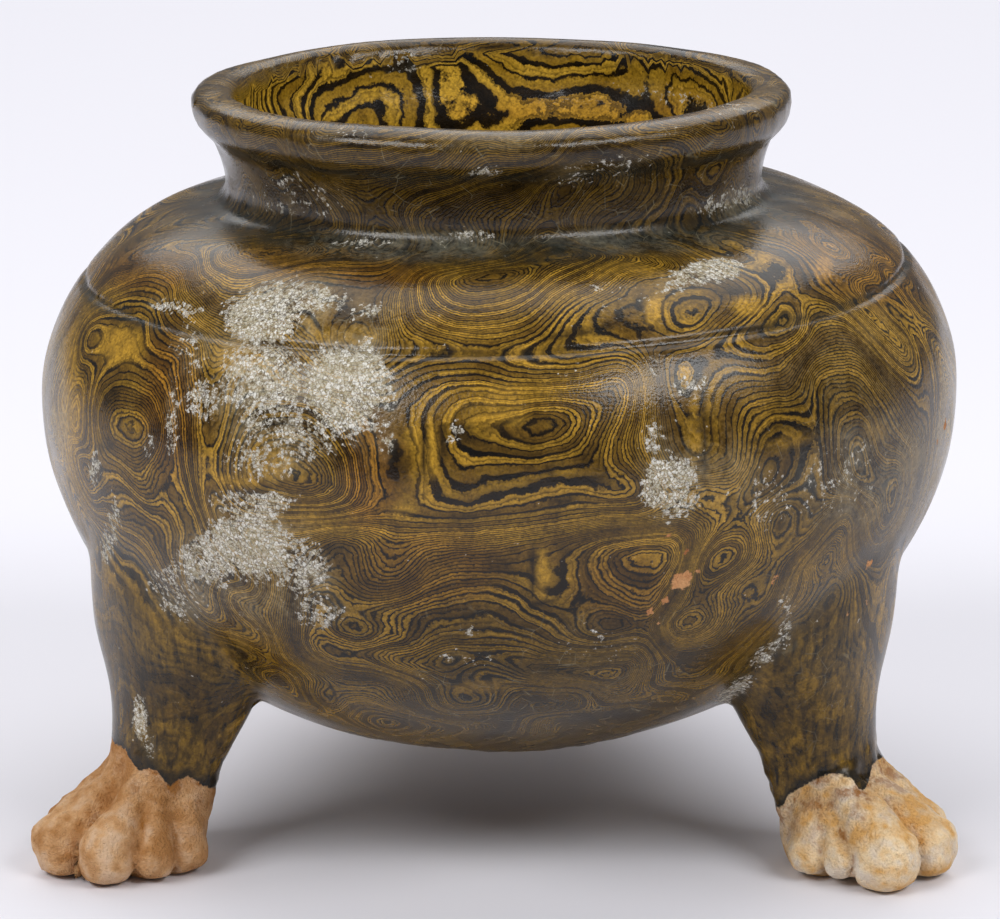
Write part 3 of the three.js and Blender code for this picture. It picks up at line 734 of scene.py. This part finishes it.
def in_patches(patches, across, down):
    most = np.zeros(len(across))
    for x, y, wide, tall, turn, strength in patches:
        c, s = math.cos(math.radians(turn)), math.sin(math.radians(turn))
        u, v = (across - x) * c - (down - y) * s, (across - x) * s + (down - y) * c
        most = np.maximum(most, strength * (1 - smoothstep(np.hypot(u / wide, v / tall), 0.55, 1.3)))
    return most


def hidden_patches(points, count, sizes, number, behind):
    """Patches of a random size and strength on the sides that the photograph doesn't show."""
    seed = np.random.default_rng(number)
    most = np.zeros(len(points))
    for i in seed.choice(np.nonzero(behind)[0], count):
        size = seed.uniform(*sizes)
        stretch = np.exp(seed.normal(0, 0.35, 3))
        away = np.linalg.norm((points - points[i]) / stretch, axis=1) / size
        most = np.maximum(most, seed.uniform(0.35, 0.95) * (1 - smoothstep(away, 0.5, 1.3)))
    return most * behind


def glaze_edge(points, down, across, leg):
    """How far in mm a point lies above the lower edge of the glaze."""
    above = np.full(len(points), FAR_FROM_EDGE)
    for number, edge in ((2, LEFT_EDGE), (0, RIGHT_EDGE)):
        pick = leg == number
        above[pick] = (np.interp(across[pick], *edge.T) - down[pick]) * PIXEL
    pick = leg == 1
    x, y, z = points[pick].T
    above[pick] = z - BACK_EDGE_HEIGHT - 2.5 * np.sin(x / 4.1 + 1) - 1.6 * np.sin(x / 1.9 + y / 5)
    return np.clip(above, -30, FAR_FROM_EDGE)


def store(mesh, name, values):
    attribute = mesh.attributes.new(name, "FLOAT", "POINT")
    attribute.data.foreach_set("value", values.astype(np.float32))


def paint(body):
    """Stores on the mesh how the layers run, where the glaze is thick, worn or absent, and where shade and
    sheen are painted.
    """
    mesh = body.data
    points, normals = read_points(mesh), read_normals(mesh)
    tree = BVHTree.FromPolygons([v.co for v in mesh.vertices], [p.vertices for p in mesh.polygons])
    across, down = picture_place(points)
    radius, height, angle = turned(points)
    outer = read_grid(outer_grid, radius, height)
    inside = 1 - smoothstep(outer, -4, -1)
    legs = [leg_distance(points, *leg) for leg in zip(LEG_ANGLES, TOES)]
    to_legs, grooves = np.array(legs).swapaxes(0, 1)
    nearest_leg, to_leg = to_legs.argmin(0), to_legs.min(0)
    legness = 1 - smoothstep(to_leg, 0.5, 5)
    on_leg = (to_leg < 6) & (inside < 0.5)
    lipness = smoothstep(height, RIM_HEIGHT - LIP_HEIGHT - 3, RIM_HEIGHT - LIP_HEIGHT) * (1 - inside)
    shown = in_view(tree, points, normals)
    behind = ~shown & (inside < 0.5) & (points[:, 1] > -20) & (points[:, 2] > 30)
    layers, pitch = clay_layers(tree, points, normals, inside, legness, lipness)
    store(mesh, "layers", layers)
    store(mesh, "fine", 1 - smoothstep(pitch, 1.05, 1.7))
    store(mesh, "inside", inside)
    store(mesh, "streaked", legness * (1 - smoothstep(points[:, 2], 62, 84)) * (1 - inside))
    above = np.where(on_leg, glaze_edge(points, down, across, nearest_leg), FAR_FROM_EDGE)
    store(mesh, "above_glaze_edge", above)
    grooves = np.take_along_axis(grooves, nearest_leg[None], 0)[0]
    store(mesh, "toe_groove", grooves * (points[:, 2] < TOE_TOP))
    # The right paw is marked paler: partly its clay, partly painted light where it faces the right lamp
    store(mesh, "paler_and_lit_paw", (nearest_leg == 0) * 1.0)
    # The neck under the lip takes the thicker, darker glaze, which also paints the lip's shade there
    on_neck = smoothstep(height, NECK_FOOT_HEIGHT - 2, NECK_FOOT_HEIGHT + 2)
    on_neck *= (1 - 0.45 * smoothstep(height, RIM_HEIGHT - 3, RIM_HEIGHT)) * (1 - inside)
    for name, patches in PATCHES.items():
        found = shown * in_patches(patches, across, down)
        if name == "thick_glaze_and_shade":
            found = np.maximum(found, NECK_GLAZE_AND_SHADE * on_neck)
        if name in HIDDEN_PATCHES:
            found = np.maximum(found, hidden_patches(points, *HIDDEN_PATCHES[name], behind))
        store(mesh, name, found)
    # Dark pooled glaze in the ring, at the neck's foot, under the lip and in the leg creases, with painted
    # shade in the same hollows
    ring = np.exp(-(((height - RING_HEIGHT) / (0.5 * RING_WIDTH)) ** 2))
    neck_foot = np.exp(-(((height - NECK_FOOT_HEIGHT - 0.5) / 2.6) ** 2)) * smoothstep(radius, 60, 66)
    under_lip = np.exp(-(((height - RIM_HEIGHT + LIP_HEIGHT) / 1.6) ** 2))
    ring = ring * (0.6 + 0.4 * np.sin(2 * angle + 1.5))
    crease = np.exp(-(((to_leg - 2.5) / 2.2) ** 2)) * (points[:, 2] > 45)
    pooled_glaze_and_shade = np.max([ring, neck_foot, UNDER_LIP_GLAZE_AND_SHADE * under_lip, CREASE_GLAZE_AND_SHADE * crease], axis=0)
    store(mesh, "pooled_glaze_and_shade", pooled_glaze_and_shade * (1 - inside))
    seed = np.random.default_rng(77)
    chips = [(seen(tree, x, y)[0], size) for x, y, size in CHIPS]
    hidden = seed.choice(np.nonzero(behind)[0], HIDDEN_CHIPS)
    chips += [(points[i], seed.uniform(*HIDDEN_CHIP_SIZES)) for i in hidden]
    nearest = np.min([np.linalg.norm(points - place, axis=1) - size for place, size in chips], axis=0)
    store(mesh, "beside_chip", np.clip(nearest, -4, 6))


body = build_body()
paint(body)


def linear(colour):
    """An sRGB hex value such as d8a24a as the linear colour that Blender works in."""
    parts = [int(colour[i : i + 2], 16) / 255 for i in (0, 2, 4)]
    return (*[p / 12.92 if p < 0.04045 else ((p + 0.055) / 1.055) ** 2.4 for p in parts], 1)


def add_node(tree, kind, inputs=(), out=0, ramp=None, **settings):
    """Adds a shader node with its settings, values and links, and gives back one of its outputs.

    Inputs come by name or number, or as a tuple when they are the node's first ones.
    """
    made = tree.nodes.new("ShaderNode" + kind)
    for name, value in settings.items():
        setattr(made, name, value)
    for key, value in inputs.items() if isinstance(inputs, dict) else enumerate(inputs):
        if isinstance(value, bpy.types.NodeSocket):
            tree.links.new(value, made.inputs[key])
        else:
            made.inputs[key].default_value = value
    if ramp:
        stops = made.color_ramp.elements
        for place, _ in ramp[1:-1]:
            stops.new(place)
        for stop, (place, colour) in zip(stops, ramp):
            stop.position, stop.color = place, linear(colour)
    return made.outputs[out] if made.outputs else None


# Sizes in mm of what the glaze and clay show
STREAK_WIDTH, STREAK_LENGTH = 1.9, 11.875
CRAZING_WIDTH, CRUMB_WIDTH, CRUMB_SHAKE, CRUMB_SHAKE_SIZE = 6.0, 0.95, 1.3, 0.9
GRAIN_HEIGHT = 0.7


def glazed_marbled_clay():
    """Two clays of different colour kneaded together, under a thin, old lead glaze."""
    material = bpy.data.materials.new("glazed_marbled_clay")
    material.use_nodes = True
    tree = material.node_tree
    tree.nodes.clear()
    add = partial(add_node, tree)
    place = add("TexCoord", out="Object")
    per_mm = 1 / MM

    stored = {}
    for name in (
        "layers", "fine", "inside", "above_glaze_edge", "toe_groove", "paler_and_lit_paw", "flaked", "dark_spots",
        "ochre_spots", "thick_glaze_and_shade", "browner", "bloom_and_sheen", "pooled_glaze_and_shade", "beside_chip", "streaked",
    ):
        stored[name] = add("Attribute", out="Fac", attribute_name=name)

    # noises, each with the size in mm of what it stands for
    noise = {}
    for name, size, detail, rough in (
        ("cloud", 38, 2, 0.5), ("mottle", 11, 3, 0.55), ("smear", 4.2, 2, 0.5), ("grain", 1.3, 3, 0.65),
        ("grit", 0.6, 1, 0.5),
    ):
        noise[name] = add("TexNoise", {"Vector": place, "Scale": per_mm / size, "Detail": detail,
                                       "Roughness": rough})

    # layers: the kneading leaves them wavy, at each size by this share of a layer
    wavy = stored["layers"]
    for name, share in (("mottle", 1.1), ("smear", 0.7), ("grain", 0.35), ("grit", 0.18)):
        wavy = add("Math", (noise[name], share, wavy), operation="MULTIPLY_ADD")
    twice = add("Math", (wavy, 2), operation="MULTIPLY")
    # no two lines or bands are as thick, so each has a random number of its own
    own = {}
    for name, count, rounding in (("line", wavy, "ROUND"), ("band", wavy, "FLOOR"), ("fine", twice, "ROUND")):
        number = add("Math", (count,), operation=rounding)
        own[name] = add("TexWhiteNoise", {"W": number}, noise_dimensions="1D")
    off_line = add("Math", (wavy, 0.5), operation="PINGPONG")
    line_end = add("MapRange", {"Value": own["line"], "To Min": 0.09, "To Max": 0.27})
    line_end = add("Math", (noise["mottle"], 0.16, line_end), operation="MULTIPLY_ADD")
    line_start = add("Math", (line_end, 0.14), operation="SUBTRACT")
    dark_line = add("MapRange", {"Value": off_line, "From Min": line_start, "From Max": line_end,
                                 "To Min": 1, "To Max": 0}, interpolation_type="SMOOTHSTEP")
    thin = add("Math", (wavy, 2.3, noise["cloud"]), operation="MULTIPLY_ADD")
    thin = add("Math", (thin, 0.5), operation="PINGPONG")
    thin_line = add("MapRange", {"Value": thin, "From Min": 0.02, "From Max": 0.26, "To Min": 0.75,
                                 "To Max": 0}, interpolation_type="SMOOTHSTEP")
    thin_line = add("Math", (thin_line, own["band"]), operation="MULTIPLY")
    off_fine = add("Math", (twice, 0.5), operation="PINGPONG")
    fine_end = add("MapRange", {"Value": own["fine"], "To Min": 0.2, "To Max": 0.42})
    fine_line = add("MapRange", {"Value": off_fine, "From Min": 0.06, "From Max": fine_end, "To Min": 1,
                                 "To Max": 0}, interpolation_type="SMOOTHSTEP")
    dark = add("Math", (dark_line, thin_line), operation="MAXIMUM")
    dark = add("Mix", {0: stored["fine"], 2: dark, 3: fine_line}, data_type="FLOAT")
    # on the legs the clay was drawn out upright
    drawn = add("Mapping", {"Vector": place, "Scale": (1, 1, STREAK_WIDTH / STREAK_LENGTH)})
    streak = add("TexNoise", {"Vector": drawn, "Scale": per_mm / STREAK_WIDTH, "Detail": 3,
                              "Roughness": 0.6})
    streak = add("MapRange", {"Value": streak, "From Min": 0.38, "From Max": 0.6, "To Min": 0.95,
                              "To Max": 0})
    streaked = add("Math", (stored["streaked"], 0.7), operation="MULTIPLY")
    dark = add("Mix", {0: streaked, 2: dark, 3: streak}, data_type="FLOAT")
    dark = add("Math", (dark, stored["dark_spots"]), operation="MAXIMUM")
    no_ochre = add("Math", (stored["ochre_spots"], -0.8, 1), operation="MULTIPLY_ADD")
    dark = add("Math", (dark, no_ochre), operation="MULTIPLY")

    # ochre and brown clay seen through honey-coloured glaze
    shade = add("Math", (own["band"], 0.55, noise["mottle"]), operation="MULTIPLY_ADD")
    shade = add("Math", (stored["ochre_spots"], 0.5, shade), operation="MULTIPLY_ADD")
    outer_clay = add("ValToRGB", {"Fac": shade}, ramp=[
        (0.35, "3c2c0f"), (0.55, "654a15"), (0.8, "86661c"), (1.0, "a98128")])
    inner_clay = add("ValToRGB", {"Fac": shade}, ramp=[(0.35, "7d5c18"), (0.6, "a37e22"), (0.9, "c79d33")])
    pale_clay = add("Mix", {0: stored["inside"], 6: outer_clay, 7: inner_clay}, out=2, data_type="RGBA")
    dark_clay = add("ValToRGB", {"Fac": noise["smear"]}, ramp=[(0.3, "0d0a06"), (0.7, "261b0c")])
    clay = add("Mix", {0: dark, 6: pale_clay, 7: dark_clay}, out=2, data_type="RGBA")

    # browner and greener glaze, the greener darkening also painted shade, and specks
    brown = add("Math", (stored["browner"], 0.9), operation="MULTIPLY")
    green_glaze_and_shade = add("Math", (stored["thick_glaze_and_shade"], 0.9), operation="MULTIPLY")
    speck = add("Math", (noise["grit"], 0.6, noise["grain"]), operation="MULTIPLY_ADD")
    speck = add("MapRange", {"Value": speck, "From Min": 0.55, "From Max": 1.05, "To Min": 0.5,
                             "To Max": 1.45})

    # thick glaze pooled in the ring, at the neck's foot and in the creases is nearly black; the same dark is
    # painted shade in these hollows and under the lip
    pool_and_shade = add("MapRange", {"Value": noise["smear"], "From Min": 0.3, "From Max": 0.62, "To Min": 0.336,
                            "To Max": 0.96})
    pool_and_shade = add("Math", (pool_and_shade, stored["pooled_glaze_and_shade"]), operation="MULTIPLY")

    # bloom: a thin grey film, also between the crumbs of flaked glaze, and painted sheen where the glaze
    # reflects the bright room
    film_and_sheen_mask = add("Math", (stored["flaked"], 0.6, stored["bloom_and_sheen"]), operation="MULTIPLY_ADD")
    grey_film_and_sheen = add("Math", (noise["grain"], 0.8, noise["mottle"]), operation="MULTIPLY_ADD")
    grey_film_and_sheen = add("MapRange", {"Value": grey_film_and_sheen, "From Min": 0.75, "From Max": 1.2, "To Min": 0,
                             "To Max": 0.45})
    grey_film_and_sheen = add("Math", (grey_film_and_sheen, film_and_sheen_mask), operation="MULTIPLY")

    # crazing: hair cracks that hold pale dust where the glaze is thick or clouded
    crazed = add("TexVoronoi", {"Vector": place, "Scale": per_mm / CRAZING_WIDTH}, feature="DISTANCE_TO_EDGE")
    crazed = add("MapRange", {"Value": crazed, "From Min": 0.004, "From Max": 0.022, "To Min": 0.3,
                              "To Max": 0})
    in_crazing = add("Math", (stored["bloom_and_sheen"], stored["thick_glaze_and_shade"]), operation="MAXIMUM")
    in_crazing = add("MapRange", {"Value": in_crazing, "From Min": 0.3, "From Max": 0.6})
    broken_up = add("MapRange", {"Value": noise["smear"], "From Min": 0.48, "From Max": 0.64})
    for share in (in_crazing, broken_up):
        crazed = add("Math", (crazed, share), operation="MULTIPLY")

    # flaking: cream crumbs of altered glaze with dark cracks between
    shaken = add("TexNoise", {"Vector": place, "Scale": per_mm / CRUMB_SHAKE_SIZE, "Detail": 1}, out="Color")
    shaken = add("VectorMath", (shaken, (CRUMB_SHAKE * MM,) * 3, place), operation="MULTIPLY_ADD")
    crumb = {"Vector": shaken, "Scale": per_mm / CRUMB_WIDTH, "Randomness": 1}
    crumb_own = add("SeparateColor", (add("TexVoronoi", crumb, out="Color"),))
    in_crumb = add("TexVoronoi", crumb, feature="DISTANCE_TO_EDGE")
    in_crumb = add("MapRange", {"Value": in_crumb, "From Min": 0.0, "From Max": 0.16})
    loose = add("Math", (noise["smear"], 0.42), operation="MULTIPLY")
    for value, share in ((noise["grain"], 0.6), (stored["flaked"], 0.5)):
        loose = add("Math", (value, share, loose), operation="MULTIPLY_ADD")
    lifted = add("MapRange", {"Value": loose, "From Min": 0.74, "From Max": 0.82})
    loose = add("Math", (crumb_own, 0.2, loose), operation="MULTIPLY_ADD")
    flake = add("MapRange", {"Value": loose, "From Min": 0.84, "From Max": 0.92})
    flake = add("Math", (flake, in_crumb), operation="MULTIPLY")
    cream = add("Math", (crumb_own, 0.5, noise["grit"]), operation="MULTIPLY_ADD")
    cream = add("ValToRGB", {"Fac": cream}, ramp=[
        (0.4, "8a7d5a"), (0.6, "b5ad96"), (0.85, "d0cbbd"), (1, "e4e1d8")])

    # chips through the glaze show the fired buff body
    chip = add("Math", (noise["grain"], 2.4, stored["beside_chip"]), operation="MULTIPLY_ADD")
    chip = add("MapRange", {"Value": chip, "From Min": 1.0, "From Max": 1.35, "To Min": 1, "To Max": 0})
    buff = add("ValToRGB", {"Fac": noise["smear"]}, ramp=[(0.3, "a8683a"), (0.7, "cf9a68")])

    # the glaze ends in a dark roll, with a ragged edge
    roll = add("Math", (noise["smear"], 5.5, stored["above_glaze_edge"]), operation="MULTIPLY_ADD")
    roll = add("MapRange", {"Value": roll, "From Min": 3.6, "From Max": 6.5, "To Min": 0.9, "To Max": 0})
    bare = add("Math", (noise["grain"], 2.2, stored["above_glaze_edge"]), operation="MULTIPLY_ADD")
    bare = add("MapRange", {"Value": bare, "From Min": 0.95, "From Max": 1.35, "To Min": 1, "To Max": 0})

    # the greener glaze also paints shade, the pooled dark also paints shade in hollows, and the grey film
    # also paints sheen
    for share, colour, blend in (
        (brown, linear("cfa67c"), "MULTIPLY"),
        (green_glaze_and_shade, linear("575433"), "MULTIPLY"),
        (1, speck, "MULTIPLY"),
        (pool_and_shade, linear("20231f"), "MIX"),
        (grey_film_and_sheen, linear("a8a48f"), "MIX"),
        (crazed, linear("a39a7c"), "MIX"),
        (flake, cream, "MIX"),
        (chip, buff, "MIX"),
        (roll, linear("12120f"), "MIX"),
    ):
        clay = add("Mix", {0: share, 6: clay, 7: colour}, out=2, data_type="RGBA", blend_type=blend)

    # bare paws: buff clay with ochre stains in the toe grooves and brown pits, the right one paler, partly
    # from its clay and partly painted light where it faces the right lamp
    cast = add("Math", (noise["smear"], noise["mottle"]), operation="ADD")
    cast = add("Math", (cast, 0.5), operation="MULTIPLY")
    left, right = (
        add("ValToRGB", {"Fac": cast}, ramp=list(zip((0.4, 0.5, 0.6), colours)))
        for colours in (("b07c48", "d4a676", "ecccaa"), ("e0ad68", "f8dcb0", "fff4e0"))
    )
    paw = add("Mix", {0: stored["paler_and_lit_paw"], 6: left, 7: right}, out=2, data_type="RGBA")
    near_ankle = add("MapRange", {"Value": stored["above_glaze_edge"], "From Min": -18, "From Max": 0,
                                  "To Min": 0.35, "To Max": 1})
    stained = add("Math", (stored["toe_groove"], near_ankle), operation="MAXIMUM")
    stain = add("Math", (noise["grain"], 0.5, noise["smear"]), operation="MULTIPLY_ADD")
    stain = add("MapRange", {"Value": stain, "From Min": 0.62, "From Max": 0.9})
    stain = add("Math", (stain, stained), operation="MULTIPLY")
    pit_depth = add("Math", (stained, 0.3, 0.15), operation="MULTIPLY_ADD")
    pit_end = add("MapRange", {"Value": noise["smear"], "From Min": 0.3, "From Max": 0.6, "To Min": 1.15,
                               "To Max": 0.75})
    pit = add("MapRange", {"Value": speck, "From Min": 0.6, "From Max": pit_end, "To Min": pit_depth,
                           "To Max": 0})
    for share, colour in ((stain, "9c6426"), (pit, "7a5028")):
        paw = add("Mix", {0: share, 6: paw, 7: linear(colour)}, out=2, data_type="RGBA")
    colour = add("Mix", {0: bare, 6: clay, 7: paw}, out=2, data_type="RGBA")

    # gloss: smooth where the glaze lives, dull where it has gone
    dull = add("Math", (flake, chip), operation="MAXIMUM")
    dull = add("Math", (dull, bare), operation="MAXIMUM")
    sheen = add("MapRange", {"Value": noise["mottle"], "From Min": 0.3, "From Max": 0.7, "To Min": 0.15,
                             "To Max": 0.33})
    rough = add("Mix", {0: dull, 2: sheen, 3: 0.85}, data_type="FLOAT")

    # relief of grains, pits and the glaze that lifts where it flakes
    relief = add("Math", (noise["grain"], 0.5, noise["grit"]), operation="MULTIPLY_ADD")
    relief = add("Math", (lifted, 0.8, relief), operation="MULTIPLY_ADD")
    rise = add("Mix", {0: dull, 2: 0.1, 3: 1}, data_type="FLOAT")
    bump = add("Bump", {"Strength": rise, "Distance": GRAIN_HEIGHT * MM, "Height": relief})
    finish = add("BsdfPrincipled", {"Base Color": colour, "Roughness": rough, "IOR": 1.5,
                                    "Specular IOR Level": 0.34, "Normal": bump})
    add("OutputMaterial", {"Surface": finish})
    return material


body.data.materials.append(glazed_marbled_clay())


def paper_backdrop():
    """Matt white paper, as a studio floor, with hardly any grain."""
    material = bpy.data.materials.new("matt_white_paper")
    material.use_nodes = True
    surface = material.node_tree.nodes["Principled BSDF"]
    surface.inputs["Base Color"].default_value = linear("eae9f0")
    surface.inputs["Roughness"].default_value = 0.95
    surface.inputs["Specular IOR Level"].default_value = 0.1
    return material


def stage_and_camera():
    scene = bpy.context.scene
    floor_mesh = bpy.data.meshes.new("paper_floor")
    half = 5.0
    corners = [(-half, -half, 0), (half, -half, 0), (half, half, 0), (-half, half, 0)]
    floor_mesh.from_pydata(corners, [], [(0, 1, 2, 3)])
    floor = bpy.data.objects.new("paper_floor", floor_mesh)
    floor_mesh.materials.append(paper_backdrop())
    scene.collection.objects.link(floor)
    camera = bpy.data.objects.new("camera", bpy.data.cameras.new("camera"))
    camera.data.sensor_width = SENSOR
    camera.data.lens = FOCAL_PIXELS / PICTURE_WIDTH * SENSOR
    camera.location = CAMERA_PLACE * MM
    camera.rotation_euler = (math.pi / 2 - CAMERA_PITCH, 0, 0)
    scene.collection.objects.link(camera)
    scene.camera = camera


def soft_box(name, azimuth, elevation, away, wide, tall, power):
    """A studio light that looks at the middle of the belly; azimuth 0 is the camera's side."""
    a, e = math.radians(azimuth), math.radians(elevation)
    aim = Vector((0, 0, BELLY_HEIGHT * MM))
    back = Vector((math.sin(a) * math.cos(e), -math.cos(a) * math.cos(e), math.sin(e)))
    data = bpy.data.lights.new(name, "AREA")
    data.shape, data.size, data.size_y, data.energy = "RECTANGLE", wide, tall, power
    light = bpy.data.objects.new(name, data)
    light.location = aim + back * away
    light.rotation_euler = back.to_track_quat("Z", "Y").to_euler()
    bpy.context.scene.collection.objects.link(light)


stage_and_camera()
soft_box("left_soft_box", -49, 41, 2.0, 1.3, 0.6, 20)
soft_box("right_soft_box", 49, 41, 2.0, 1.3, 0.5, 18)
soft_box("overhead_soft_box", 180, 56, 3.1, 4.0, 4.0, 92)
world = bpy.data.worlds.new("studio")
world.use_nodes = True
world.node_tree.nodes["Background"].inputs["Color"].default_value = (0.93, 0.94, 1, 1)
world.node_tree.nodes["Background"].inputs["Strength"].default_value = 0.19
bpy.context.scene.world = world
bpy.context.scene.view_settings.view_transform = "Standard"

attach(body, "root")
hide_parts("censer")
